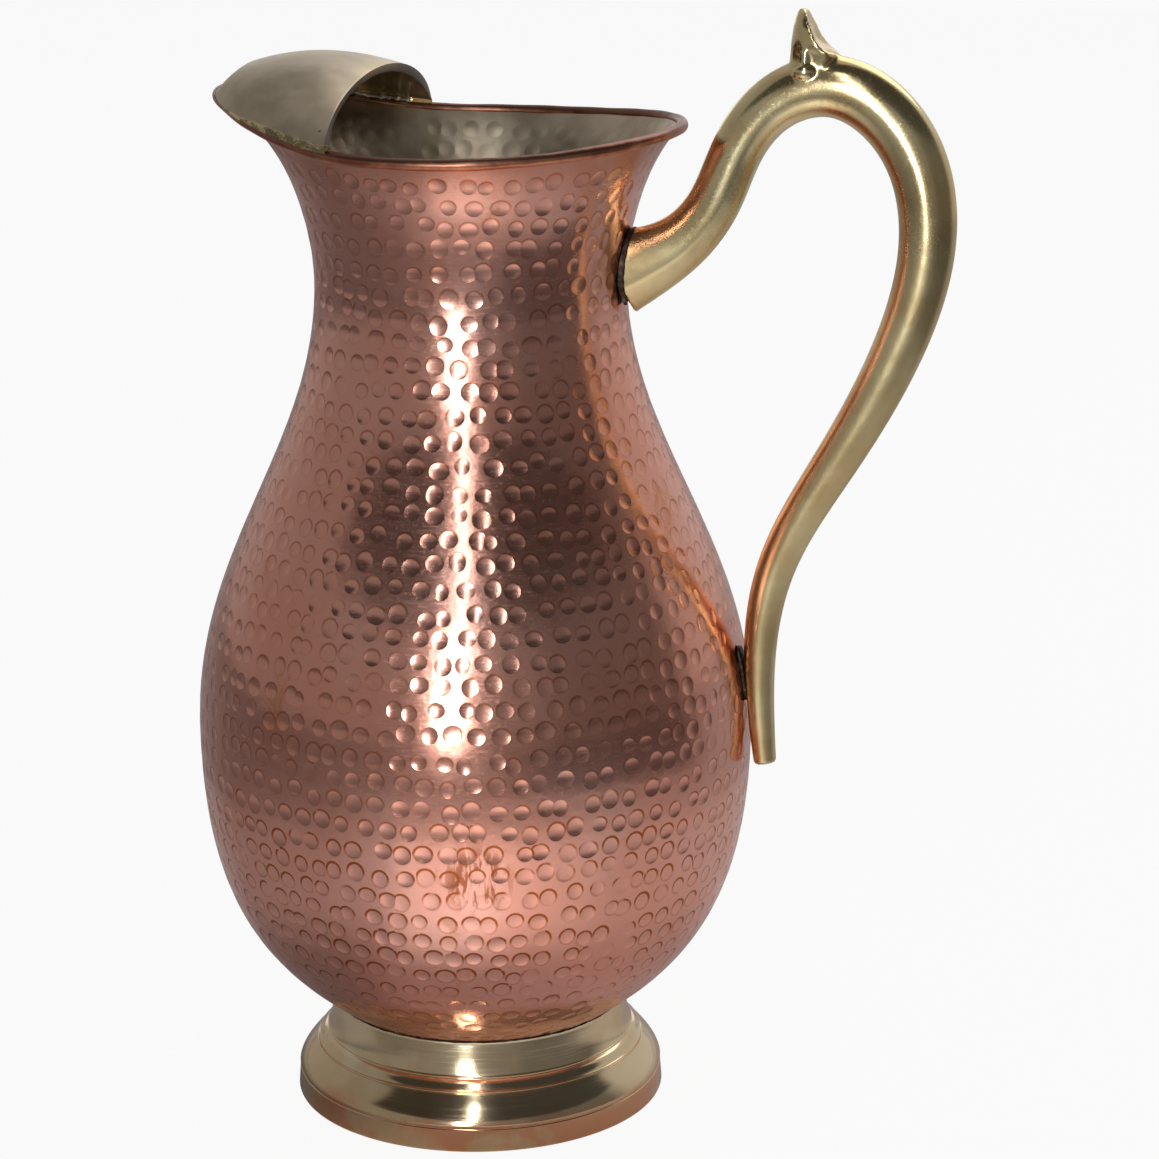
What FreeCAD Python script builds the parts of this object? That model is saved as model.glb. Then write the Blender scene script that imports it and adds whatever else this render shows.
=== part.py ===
"""Hammered copper water jug with a brass spout hood, a cast brass handle and a turned brass foot.

The jug stands on the XY plane with its axis on Z. The spout points along -X and the handle along +X,
so XZ is the mirror plane of every piece. All sizes are millimetres.
"""

import FreeCAD, Part
import math
import os

from FreeCAD import Vector

# ---- copper body: one raised sheet, drawn as the outer half-profile ----
sheet_thickness = 1.0
belly_radius = 75.2
belly_height = 107.0          # level of the widest point
neck_radius = 41.3
neck_height = 228.0           # level of the narrowest point
body_bottom_height = 22.0     # flat middle of the bottom, hidden inside the foot
shoulder_swell = 49.0         # how long the side stays full above the belly
neck_draw = 45.0              # how long it stays slim below the neck
underbelly_swell = 46.0       # the same below the belly
underbelly_turn = 27.6
underbelly_slope = 35.0       # degrees, where the sheet lands on the foot
bottom_turn = 9.5

# ---- mouth: the trumpet end of the sheet and the saddle line it is cut to ----
flare_radius = 68.0           # the full trumpet, before the mouth is cut
flare_height = 276.2
flare_rise = 10.0
flare_throw = 22.8
flare_slope = 16.2            # degrees above level at the very edge
mouth_side_height = 265.2     # lowest point of the rim, over the jug's axis
mouth_back_height = 268.7     # over the handle
mouth_back_reach = 58.0       # where the rim reaches that height
spout_shoulder_reach = 28.0   # where the rim starts to climb to the spout
spout_shoulder_height = 266.4
spout_climb_reach = 52.0
spout_climb_height = 271.6
spout_tip_reach = 66.5
spout_tip_height = 275.6

# ---- rolled rim: the sheet's own edge, rolled into a bead ----
rim_bead_diameter = 3.2
rim_bead_inward = 0.4         # how far the bead stands inside the sheet's inner face

# ---- spout hood: cast brass arch over the front third of the mouth ----
hood_thickness = 2.3
hood_back_reach = 24.0        # distance of the open back edge from the jug's axis
hood_back_crown = 282.7
hood_top_reach = 42.0         # highest point of the crown
hood_top_crown = 286.1
hood_front_reach = 59.0       # crown at the upper edge of the pouring opening
hood_front_crown = 283.4
hood_brow_slope = 51.0        # degrees, the slanted cut that opens the front
hood_skirt_overhang = 0.8     # arch wider than its skirt, which leaves the low upright band
hood_seat_depth = 0.9         # how far the skirt laps down over the rim bead
hood_solder_size = 2.8
hood_solder_rise = 1.6        # middle of the fillet above the rim bead's
hood_solder_inward = 1.0      # and inside it
hood_solder_start = 123       # degrees round from the handle
hood_solder_end = 152

# ---- handle: solid casting in the mirror plane, its centre line by reach from the axis and height ----
root_level = 230.6            # where the handle leaves the neck
root_sink = 1.0               # how far its centre line starts inside the neck
elbow_reach = 56.6
elbow_level = 239.2
bend_reach = 65.2
bend_level = 249.6
rise_reach = 71.2
rise_level = 263.4
brow_reach = 81.6
brow_level = 276.2
crown_reach = 95.6
crown_level = 280.4
turn_reach = 113.6
turn_level = 268.8
grip_reach = 120.8            # furthest from the axis
grip_level = 244.0
palm_reach = 113.9
palm_level = 213.5
shank_reach = 97.3
shank_level = 181.3
calf_reach = 82.6
calf_level = 153.0
tail_reach = 78.6             # beside the belly
tail_level = 131.0
tail_end_reach = 80.2
tail_end_level = 99.0

# ---- handle sections: depth lies in the mirror plane, width across it ----
root_depth = 22.6
root_width = 11.0
elbow_depth = 13.6
elbow_width = 12.2
crown_depth = 15.8
grip_depth = 14.6
grip_width = 13.6
shank_depth = 11.2
shank_width = 10.2
tail_depth = 8.0
tail_width = 9.0
tail_end_depth = 6.0
tail_end_width = 7.4

# ---- brazed joints of the handle ----
handle_solder_gap = 0.9
solder_spread = 0.8           # collar of solder round the root
lower_joint_height = 123.5
lower_joint_length = 15.0
lower_joint_width = 5.6

# ---- thumb-piece standing on the handle's crown ----
thumb_top_height = 300.0
thumb_reach = 88.2            # middle of its top edge
thumb_top_depth = 3.0
thumb_front_spread = 2.6      # how much wider its foot is on either side
thumb_back_spread = 8.0
thumb_width = 12.6
pellet_diameter = 4.4
pellet_reach = 87.4
pellet_level = 282.8
pellet_sink = 0.6             # middle of the pellet inside the handle's side

# ---- foot: turned brass ring, hollow below ----
foot_height = 27.2
foot_radius = 50.9
foot_top_radius = 40.0
foot_wall = 1.9
foot_band_height = 6.4        # upright band that stands on the table
foot_band_radius = 50.6       # at its upper edge
foot_step_height = 14.5       # lower of the two turned lines
foot_step_radius = 45.2
foot_line_height = 17.6       # upper of the two turned lines
foot_line_radius = 42.7
foot_band_pull = 2.6          # how stiffly the ogee leaves the band, the lines and the top
foot_step_pull = 2.7
foot_line_pull = 1.8
foot_top_pull = 4.1
foot_step_slope = 49.0        # degrees, where the ogee lands on the lower line
foot_line_slope = 52.0
foot_top_slope = 77.0
turned_line_depth = 0.35
foot_solder_gap = 0.35
foot_solder_bead = 0.5

Z_AXIS = Vector(0, 0, 1)


def polar(length, degrees):
    """Point in the XZ plane at this distance and angle above +X."""
    angle = math.radians(degrees)
    return Vector(length * math.cos(angle), 0, length * math.sin(angle))


def bezier(points):
    curve = Part.BezierCurve()
    curve.setPoles(points)
    return curve


def smooth_curve(points, closed=False):
    curve = Part.BSplineCurve()
    curve.interpolate(Points=points, PeriodicFlag=closed)
    return curve


def turned(edges):
    """Full turn about the jug's axis of a closed outline drawn in the XZ plane."""
    face = Part.Face(Part.Wire(edges))
    return face.revolve(Vector(0, 0, 0), Z_AXIS, 360)


def prism(points, width):
    """Polygon of the XZ plane, thickened by this width about the mirror plane."""
    half = Vector(0, width / 2, 0)
    wire = Part.makePolygon([p - half for p in points + points[:1]])
    return Part.Face(wire).extrude(half * 2)


# ---------------------------------------------------------------- body profile

FOOT_JOINT = Vector(foot_top_radius, 0, foot_height)


def body_profile(inset=0.0):
    """Bottom, underbelly, shoulder and flare of the sheet, each moved in by the inset."""
    bottom = Vector(0, 0, body_bottom_height + inset)
    landing = FOOT_JOINT + polar(inset, underbelly_slope + 90)
    belly = Vector(belly_radius - inset, 0, belly_height)
    neck = Vector(neck_radius - inset, 0, neck_height)
    mouth = Vector(flare_radius, 0, flare_height) + polar(inset, flare_slope + 90)
    slope = polar(1, underbelly_slope)
    return [
        bezier([bottom, bottom + Vector(foot_top_radius * 0.4, 0, 0),
                landing - slope * bottom_turn, landing]),
        bezier([landing, landing + slope * underbelly_turn,
                belly - Z_AXIS * underbelly_swell, belly]),
        bezier([belly, belly + Z_AXIS * shoulder_swell, neck - Z_AXIS * neck_draw, neck]),
        bezier([neck, neck + Z_AXIS * flare_rise,
                mouth - polar(flare_throw, flare_slope), mouth]),
    ]


def revolved_body(inset=0.0):
    """Solid inside the sheet's outer face, or inside its inner face when inset by the sheet."""
    curves = body_profile(inset)
    edges = [c.toShape() for c in curves]
    mouth = curves[-1].EndPoint
    top = Vector(0, 0, mouth.z)
    edges.append(Part.makeLine(mouth, top))
    edges.append(Part.makeLine(top, curves[0].StartPoint))
    return turned(edges)


# ------------------------------------------------------------------ mouth line

MOUTH_LINE = smooth_curve([
    Vector(mouth_back_reach, 0, mouth_back_height),
    Vector(mouth_back_reach / 2, 0, (mouth_back_height + 3 * mouth_side_height) / 4),
    Vector(0, 0, mouth_side_height),
    Vector(-spout_shoulder_reach, 0, spout_shoulder_height),
    Vector(-spout_climb_reach, 0, spout_climb_height),
    Vector(-spout_tip_reach, 0, spout_tip_height),
    Vector(-spout_tip_reach - 2 * rim_bead_diameter, 0, spout_tip_height + rim_bead_diameter / 3),
])


def bisect(function, low, high):
    """Root of a function that rises from negative to positive between the limits."""
    for _ in range(40):
        middle = (low + high) / 2
        if function(middle) < 0:
            low = middle
        else:
            high = middle
    return (low + high) / 2


def mouth_height(x):
    """Level of the saddle line at this distance along the jug."""
    first, last = MOUTH_LINE.FirstParameter, MOUTH_LINE.LastParameter
    return MOUTH_LINE.value(bisect(lambda s: x - MOUTH_LINE.value(s).x, first, last)).z


def rim_point(degrees):
    """Middle of the rim bead at this angle from the handle, where trumpet and saddle line meet."""
    flare = body_profile(sheet_thickness + rim_bead_inward - rim_bead_diameter / 2)[-1]
    turn = math.radians(degrees)

    def above_line(s):
        p = flare.value(s)
        return p.z - mouth_height(p.x * math.cos(turn))

    p = flare.value(bisect(above_line, 0.3, 1.0))
    return Vector(p.x * math.cos(turn), p.x * math.sin(turn), p.z)


def rim_bead():
    """Closed bar along the rim, rounded by twelve narrow flats."""
    rim = smooth_curve([rim_point(degrees) for degrees in range(90, 450, 30)], closed=True)
    first, last = rim.FirstParameter, rim.LastParameter
    rings = []
    for k in range(24):
        s = first + (last - first) * k / 24
        along = rim.tangent(s)[0]
        side = along.cross(Z_AXIS).normalize()
        up = side.cross(along)
        corners = []
        for degrees in range(15, 375, 30):
            spoke = polar(rim_bead_diameter / 2, degrees)
            corners.append(rim.value(s) + side * spoke.x + up * spoke.z)
        rings.append(Part.makePolygon(corners + corners[:1]))
    return Part.makeLoft(rings, True, False, True)


def below_mouth_line(rise):
    """Everything under the saddle line, raised by this much."""
    reach = flare_radius * 2
    line = MOUTH_LINE.toShape()
    line.translate(Z_AXIS * rise)
    first, last = line.Vertexes[0].Point, line.Vertexes[-1].Point
    if first.x < last.x:
        first, last = last, first
    far, near = Vector(reach, 0, first.z), Vector(-reach, 0, last.z)
    outline = Part.Wire([
        Part.makeLine(far, first), line, Part.makeLine(last, near),
        Part.makeLine(near, Vector(-reach, 0, 0)),
        Part.makeLine(Vector(-reach, 0, 0), Vector(reach, 0, 0)),
        Part.makeLine(Vector(reach, 0, 0), far),
    ])
    block = Part.Face(outline).extrude(Vector(0, 2 * reach, 0))
    block.translate(Vector(0, -reach, 0))
    return block


# --------------------------------------------------------------------- pieces

def copper_body(outer, bead):
    """The raised sheet: open trumpet mouth, rolled rim, closed bottom."""
    sheet = outer.cut(revolved_body(sheet_thickness))
    return sheet.common(below_mouth_line(0)).fuse(bead).removeSplitter()


def half_ellipse(centre, side, top):
    """Arch from +side through the top to -side."""
    if side.Length > top.Length:
        return Part.Arc(Part.Ellipse(centre + side, centre + top, centre), 0, math.pi)
    return Part.Arc(Part.Ellipse(centre + top, centre - side, centre), -math.pi / 2, math.pi / 2)


def hood_crown(x):
    """Crown line of the hood in the mirror plane: a parabola through its three named points."""
    a, b, c = -hood_back_reach, -hood_top_reach, -hood_front_reach
    return (hood_back_crown * (x - b) * (x - c) / ((a - b) * (a - c))
            + hood_top_crown * (x - a) * (x - c) / ((b - a) * (b - c))
            + hood_front_crown * (x - a) * (x - b) / ((c - a) * (c - b)))


def hood_vault(inset):
    """Loft of half-ellipse arches that follow the rim from behind the back edge to near the tip."""
    arches = []
    for degrees in (108, 120, 132, 144, 156, 168):
        foot = rim_point(degrees)
        centre = Vector(foot.x, 0, foot.z)
        side = Vector(0, foot.y + rim_bead_diameter / 2 + hood_skirt_overhang - inset, 0)
        top = Vector(0, 0, hood_crown(foot.x) - foot.z - inset)
        arch = half_ellipse(centre, side, top)
        chord = Part.makeLine(arch.EndPoint, arch.StartPoint)
        arches.append(Part.Wire([arch.toShape(), chord]))
    return Part.makeLoft(arches, True, False)


def rim_prism(offset):
    """Upright prism on the rim's plan outline, moved out by the offset."""
    points = []
    for degrees in range(90, 450, 30):
        p = rim_point(degrees)
        p.z = 0
        points.append(p + Vector(p).normalize() * offset)
    outline = smooth_curve(points, closed=True).toShape()
    return Part.Face(Part.Wire(outline)).extrude(Z_AXIS * 2 * hood_top_crown)


def spout_hood(bead):
    """Cast arch: square back edge, slanted pouring opening, low upright skirt seated on the rim."""
    skirt = rim_bead_diameter / 2
    arch = hood_vault(0).common(rim_prism(skirt))
    arch = arch.cut(hood_vault(hood_thickness).common(rim_prism(skirt - hood_thickness)))
    brow = Vector(-hood_front_reach, 0, hood_front_crown)
    far = 2 * flare_radius
    front = prism([brow - polar(far, hood_brow_slope), brow + polar(far, hood_brow_slope),
                   Vector(-2 * far, 0, 2 * far), Vector(-2 * far, 0, 0)], far)
    behind = Part.makeBox(far, 2 * far, 2 * hood_top_crown, Vector(-hood_back_reach, -far, 0))
    seat = below_mouth_line(skirt - hood_seat_depth)
    return arch.cut(front).cut(behind).cut(seat).cut(bead)


# ---------------------------------------------------------------------- handle

HANDLE_LINE = smooth_curve([
    Vector(neck_radius - root_sink, 0, root_level),
    Vector(elbow_reach, 0, elbow_level),
    Vector(bend_reach, 0, bend_level),
    Vector(rise_reach, 0, rise_level),
    Vector(brow_reach, 0, brow_level),
    Vector(crown_reach, 0, crown_level),
    Vector(turn_reach, 0, turn_level),
    Vector(grip_reach, 0, grip_level),
    Vector(palm_reach, 0, palm_level),
    Vector(shank_reach, 0, shank_level),
    Vector(calf_reach, 0, calf_level),
    Vector(tail_reach, 0, tail_level),
    Vector(tail_end_reach, 0, tail_end_level),
])

# share of the handle's length, depth, width, sharpness of the keel along its inner side
HANDLE_SECTIONS = [
    (0.00, root_depth, root_width, 1.0),
    (0.06, (root_depth + 3 * elbow_depth) / 4, root_width, 1.0),
    (0.13, elbow_depth, elbow_width, 1.0),
    (0.20, (6 * elbow_depth + crown_depth) / 7, (elbow_width + grip_width) / 2, 0.6),
    (0.28, crown_depth, grip_width, 0.1),
    (0.37, crown_depth, grip_width, 0.0),
    (0.47, grip_depth, grip_width, 0.0),
    (0.60, (grip_depth + shank_depth) / 2, (grip_width + shank_width) / 2, 0.0),
    (0.73, shank_depth, shank_width, 0.0),
    (0.84, (shank_depth + tail_depth) / 2, (shank_width + tail_width) / 2, 0.0),
    (0.92, tail_depth, tail_width, 0.0),
    (1.00, tail_end_depth, tail_end_width, 0.0),
]


def handle_section(share, depth, width, keel):
    """Oval across the handle whose inner side is drawn to a keel between two creases."""
    s = HANDLE_LINE.parameterAtDistance(share * HANDLE_LINE.length(), HANDLE_LINE.FirstParameter)
    centre = HANDLE_LINE.value(s)
    along = HANDLE_LINE.tangent(s)[0]
    outward = Vector(-along.z, 0, along.x)

    def place(across, out):
        return centre + Vector(0, across * width / 2, 0) + outward * (out * depth / 2)

    def oval(start, end):
        a, b = math.radians(start), math.radians(end)
        pull = 4 / 3 * math.tan((b - a) / 4)
        return bezier([
            place(math.cos(a), math.sin(a)),
            place(math.cos(a) - pull * math.sin(a), math.sin(a) + pull * math.cos(a)),
            place(math.cos(b) + pull * math.sin(b), math.sin(b) - pull * math.cos(b)),
            place(math.cos(b), math.sin(b)),
        ]).toShape()

    crease = -45 + 24 * keel
    side, level = math.cos(math.radians(crease)), math.sin(math.radians(crease))
    pinch, drop = side * (0.45 - 0.35 * keel), (-4 - level) / 3
    inner = bezier([place(-side, level), place(-pinch, drop), place(pinch, drop), place(side, level)])
    return Part.Wire([oval(crease, 90), oval(90, 180 - crease), inner.toShape()])


def handle_bar(sections, growth=0.0):
    return Part.makeLoft([handle_section(share, depth + 2 * growth, width + 2 * growth, keel)
                          for share, depth, width, keel in sections], True, False)


def thumb_piece():
    """Leaf standing on the crown: hollowed toward the hand, narrowing to its top."""
    waist = (crown_level + thumb_top_height) / 2
    front, back = thumb_reach - thumb_top_depth / 2, thumb_reach + thumb_top_depth / 2
    front_foot = Vector(front - thumb_front_spread, 0, crown_level)
    back_foot = Vector(back + thumb_back_spread, 0, crown_level)
    front_top, back_top = Vector(front, 0, thumb_top_height), Vector(back, 0, thumb_top_height)
    side = Part.Wire([
        bezier([front_foot, Vector(front - thumb_front_spread / 2, 0, waist), front_top]).toShape(),
        Part.makeLine(front_top, back_top),
        bezier([back_top, Vector(back + thumb_back_spread / 8, 0, waist), back_foot]).toShape(),
        Part.makeLine(back_foot, front_foot),
    ])
    leaf = Part.Face(side).extrude(Vector(0, thumb_width, 0))
    leaf.translate(Vector(0, -thumb_width / 2, 0))
    edge, foot = Vector(0, thumb_width / 2, waist), Vector(0, thumb_width / 2, crown_level)
    mirrored_edge, mirrored_foot = Vector(0, -edge.y, edge.z), Vector(0, -foot.y, foot.z)
    outline = Part.Wire([
        Part.makeLine(foot, edge),
        Part.Arc(edge, Vector(0, 0, thumb_top_height), mirrored_edge).toShape(),
        Part.makeLine(mirrored_edge, mirrored_foot),
        Part.makeLine(mirrored_foot, foot),
    ])
    return leaf.common(Part.Face(outline).extrude(Vector(2 * thumb_reach, 0, 0)))


def handle(fit):
    """The casting, ground to the neck and the belly with room for the solder."""
    piece = handle_bar(HANDLE_SECTIONS).fuse(thumb_piece())
    for side in (-1, 1):
        middle = Vector(pellet_reach, side * (grip_width / 2 - pellet_sink), pellet_level)
        piece = piece.fuse(Part.makeSphere(pellet_diameter / 2, middle))
    return piece.cut(fit)


def upper_handle_solder(body_solid, casting):
    """Collar of solder between the neck and the root of the handle."""
    collar = handle_bar(HANDLE_SECTIONS[:3], solder_spread)
    return collar.common(revolved_body(-handle_solder_gap - solder_spread)).cut(body_solid).cut(casting)


def lower_handle_solder(body_solid, casting):
    """Pad of solder between the belly and the tail of the handle."""
    radius = lower_joint_width / 2
    low = Vector(0, 0, lower_joint_height - lower_joint_length / 2 + radius)
    high = Vector(0, 0, lower_joint_height + lower_joint_length / 2 - radius)
    reach = Vector(2 * belly_radius, 0, 0)
    pad = Part.makeBox(reach.x, lower_joint_width, high.z - low.z, low - Vector(0, radius, 0))
    for end in (low, high):
        pad = pad.fuse(Part.makeCylinder(radius, reach.x, end, Vector(1, 0, 0)))
    return pad.common(revolved_body(-handle_solder_gap)).cut(body_solid).cut(casting)


# ------------------------------------------------------------------------ foot

def foot():
    """Turned ring: upright band, ogee in two sweeps with a step between two turned lines, narrow top."""
    base = Vector(foot_radius, 0, 0)
    band = Vector(foot_band_radius, 0, foot_band_height)
    step = Vector(foot_step_radius, 0, foot_step_height)
    line = Vector(foot_line_radius, 0, foot_line_height)
    top = Vector(foot_top_radius, 0, foot_height)
    rim = top + Z_AXIS * foot_wall
    inward = Vector(-foot_wall, 0, 0)
    lower = [band, band + Z_AXIS * foot_band_pull, step - polar(foot_step_pull, 180 - foot_step_slope), step]
    upper = [line, line + polar(foot_line_pull, 180 - foot_line_slope),
             top - polar(foot_top_pull, 180 - foot_top_slope), top]
    ring = turned([
        Part.makeLine(base, band),
        bezier(lower).toShape(),
        Part.makeLine(step, line),
        bezier(upper).toShape(),
        Part.makeLine(top, rim),
        Part.makeLine(rim, rim + inward),
        Part.makeLine(rim + inward, top + inward),
        bezier([p + inward for p in reversed(upper)]).toShape(),
        Part.makeLine(line + inward, step + inward),
        bezier([p + inward for p in reversed(lower)]).toShape(),
        Part.makeLine(band + inward, base + inward),
        Part.makeLine(base + inward, base),
    ])
    for mark in (band, step, line):
        above, below = mark + polar(turned_line_depth, 90), mark - polar(turned_line_depth, 90)
        apex, clear = mark - polar(turned_line_depth, 0), mark + polar(turned_line_depth, 0)
        ring = ring.cut(turned([Part.makeLine(apex, above), Part.makeLine(above, above + clear - mark),
                                Part.makeLine(above + clear - mark, below + clear - mark),
                                Part.makeLine(below + clear - mark, below), Part.makeLine(below, apex)]))
    return ring.cut(revolved_body(-foot_solder_gap))


def foot_solder(body_solid):
    """Thin ring of solder that holds the body on top of the foot."""
    inside = foot_top_radius - foot_wall
    height = foot_height + foot_wall
    ring = Part.makeCylinder(foot_top_radius + foot_solder_bead, height)
    ring = ring.cut(Part.makeCylinder(inside, height))
    return ring.common(revolved_body(-foot_solder_gap)).cut(body_solid)


def hood_solder(side, body, hood):
    """Fillet of solder inside the hood, along one side of the rim."""
    points = []
    for k in range(5):
        p = rim_point(side * (hood_solder_start + (hood_solder_end - hood_solder_start) * k / 4))
        inward = Vector(-p.x, -p.y, 0).normalize()
        points.append(p + inward * hood_solder_inward + Z_AXIS * hood_solder_rise)
    spine = smooth_curve(points)
    circle = Part.Circle(points[0], spine.tangent(spine.FirstParameter)[0], hood_solder_size / 2)
    bar = Part.Wire(spine.toShape()).makePipeShell([Part.Wire(circle.toShape())], True, True)
    return bar.cut(body).cut(hood)


# -------------------------------------------------------------------- assembly

bead = rim_bead()
body_solid = revolved_body()
body = copper_body(body_solid, bead)
hood = spout_hood(bead)
casting = handle(revolved_body(-handle_solder_gap))

pieces = {
    "copper_body": body,
    "spout_hood": hood,
    "hood_solder_left": hood_solder(-1, body, hood),
    "hood_solder_right": hood_solder(1, body, hood),
    "handle": casting,
    "upper_handle_solder": upper_handle_solder(body_solid, casting),
    "lower_handle_solder": lower_handle_solder(body_solid, casting),
    "foot": foot(),
    "foot_solder": foot_solder(body_solid),
}

os.makedirs("parts", exist_ok=True)
for name, shape in pieces.items():
    print(name, shape.isValid(), len(shape.Solids), round(shape.Volume, 1), len(shape.Faces), shape.BoundBox)
    shape.exportStep("parts/" + name + ".step")
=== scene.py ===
import math

import bpy
import numpy as np
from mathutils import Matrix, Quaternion, Vector
from mathutils.kdtree import KDTree


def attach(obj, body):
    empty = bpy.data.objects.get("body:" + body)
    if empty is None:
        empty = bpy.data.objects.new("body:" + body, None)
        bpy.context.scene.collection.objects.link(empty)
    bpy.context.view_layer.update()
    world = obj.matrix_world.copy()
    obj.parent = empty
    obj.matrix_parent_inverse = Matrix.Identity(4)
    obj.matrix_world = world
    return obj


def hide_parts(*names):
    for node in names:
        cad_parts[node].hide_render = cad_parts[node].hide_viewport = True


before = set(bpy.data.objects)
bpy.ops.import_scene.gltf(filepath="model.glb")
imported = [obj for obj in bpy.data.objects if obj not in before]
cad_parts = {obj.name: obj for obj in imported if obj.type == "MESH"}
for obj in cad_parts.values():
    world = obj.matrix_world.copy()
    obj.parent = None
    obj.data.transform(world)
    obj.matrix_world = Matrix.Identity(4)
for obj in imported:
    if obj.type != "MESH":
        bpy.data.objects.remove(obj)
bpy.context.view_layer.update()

# ---------------------------------------------------------------- copper body
# One sheet of copper, raised over a stake and hammered all over in close rings of round
# dents, then polished. The trumpet mouth is cut to a saddle line.

SHEET = 0.0010
# the profile's main points, as distance from the axis and height
BOTTOM = 0.0220
FOOT_JOINT = (0.0400, 0.0272)
BELLY = (0.0752, 0.107)
NECK = (0.0413, 0.228)
FLARE = (0.0680, 0.2762)
# its slope in degrees at the first and last of them, and the steps drawn between each two
JOINT_SLOPE = 35
FLARE_SLOPE = 16.2
PROFILE_STEPS = (60, 200, 260, 160)
# the mouth's cut from the handle to the spout, as distance along the jug and height
SADDLE = [(0.0580, 0.2687), (0.0290, 0.266075), (0.0, 0.2652), (-0.0280, 0.2664),
          (-0.0520, 0.2716), (-0.0665, 0.2756), (-0.0729, 0.27667)]
# steps at the profile's end in which the cut is looked for
CUT_STEPS = 140
DENT_PITCH = 0.0061
DENT_ROWS = 0.0062
DENT_RADIUS = 0.00228
DENT_DEPTHS = (0.00013, 0.00027)
DENT_SQUASH = 0.07
# how far a blow strays along its ring, in pitches, and across it, and how much the ring waves
DENT_STRAY = (0.13, 0.00042)
RING_WAVE = 0.0006
# gaps between the foot joint and the first ring, the last ring and the rim, a dent and the rim
DENT_GAPS = (0.0030, 0.0035, 0.0042)
COPPER = (0.87, 0.385, 0.279, 1)
COPPER_WORN = (0.90, 0.461, 0.363, 1)
COPPER_STAIN = (0.72, 0.26, 0.10, 1)
COPPER_PATINA = (0.40, 0.165, 0.10, 1)
# tarnish of the stain spot and of the rings at the dents' edges, whose upper arcs are painted shade
COPPER_TARNISH_AND_SHADE = (0.42, 0.110, 0.035, 1)
TARNISH_SPOT = (0.0186, -0.0718, 0.0860)


def bezier(a, b, c, d, steps):
    """Points of one cubic Bezier span, the last one left out."""
    t = np.arange(steps)[:, None] / steps
    a, b, c, d = (np.array(p, float) for p in (a, b, c, d))
    return a * (1 - t) ** 3 + 3 * b * t * (1 - t) ** 2 + 3 * c * t * t * (1 - t) + d * t ** 3


def sheet_profile(inset):
    """Half-profile of the sheet, moved in by the inset: distance from the axis, height."""
    def polar(length, degrees):
        slope = math.radians(degrees)
        return np.array([length * math.cos(slope), length * math.sin(slope)])

    bottom = np.array([0.0, BOTTOM + inset])
    joint = np.array(FOOT_JOINT) + polar(inset, JOINT_SLOPE + 90)
    belly = np.array([BELLY[0] - inset, BELLY[1]])
    neck = np.array([NECK[0] - inset, NECK[1]])
    mouth = np.array(FLARE) + polar(inset, FLARE_SLOPE + 90)
    curves = [
        (bottom, bottom + (0.0160, 0), joint - polar(0.0095, JOINT_SLOPE), joint),
        (joint, joint + polar(0.0276, JOINT_SLOPE), belly - (0, 0.046), belly),
        (belly, belly + (0, 0.049), neck - (0, 0.045), neck),
        (neck, neck + (0, 0.010), mouth - polar(0.0228, FLARE_SLOPE), mouth),
    ]
    return np.vstack([bezier(*curve, steps) for curve, steps in zip(curves, PROFILE_STEPS)] + [mouth])


def saddle_height(x):
    """Level of the line that the mouth is cut to, at this distance along the jug."""
    line = np.array(SADDLE[::-1])
    xs, zs = line[:, 0], line[:, 1]
    slopes = np.gradient(zs, xs)
    k = np.clip(np.searchsorted(xs, x) - 1, 0, len(xs) - 2)
    h = xs[k + 1] - xs[k]
    t = (x - xs[k]) / h
    return ((2 * t ** 3 - 3 * t ** 2 + 1) * zs[k] + (t ** 3 - 2 * t ** 2 + t) * h * slopes[k]
            + (3 * t ** 2 - 2 * t ** 3) * zs[k + 1] + (t ** 3 - t ** 2) * h * slopes[k + 1])


def mouth_length(turn, profile, lengths):
    """How far up the profile the sheet reaches at each angle, up to the saddle line."""
    start = len(profile) - CUT_STEPS
    over = profile[start:, 1][None, :] - saddle_height(profile[start:, 0][None, :] * np.cos(turn)[:, None])
    first = np.clip(np.argmax(over > 0, axis=1), 1, None)
    rows = np.arange(len(turn))
    before, after = over[rows, first - 1], over[rows, first]
    share = before / (before - after)
    return lengths[start + first - 1] * (1 - share) + lengths[start + first] * share


def lengths_along(points):
    """Length along a line of points up to each of them."""
    return np.concatenate([[0], np.cumsum(np.linalg.norm(np.diff(points, axis=0), axis=1))])


def profile_table(inset):
    """The half-profile and the length along it up to each point."""
    profile = sheet_profile(inset)
    return profile, lengths_along(profile)


def on_sheet(turn, along, inset=0.0):
    """Points of the sheet at these angles round it and lengths up its profile."""
    profile, lengths = profile_table(inset)
    radius, height = (np.interp(along, lengths, column) for column in profile.T)
    return np.stack([radius * np.cos(turn), radius * np.sin(turn), height], 1)


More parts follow.
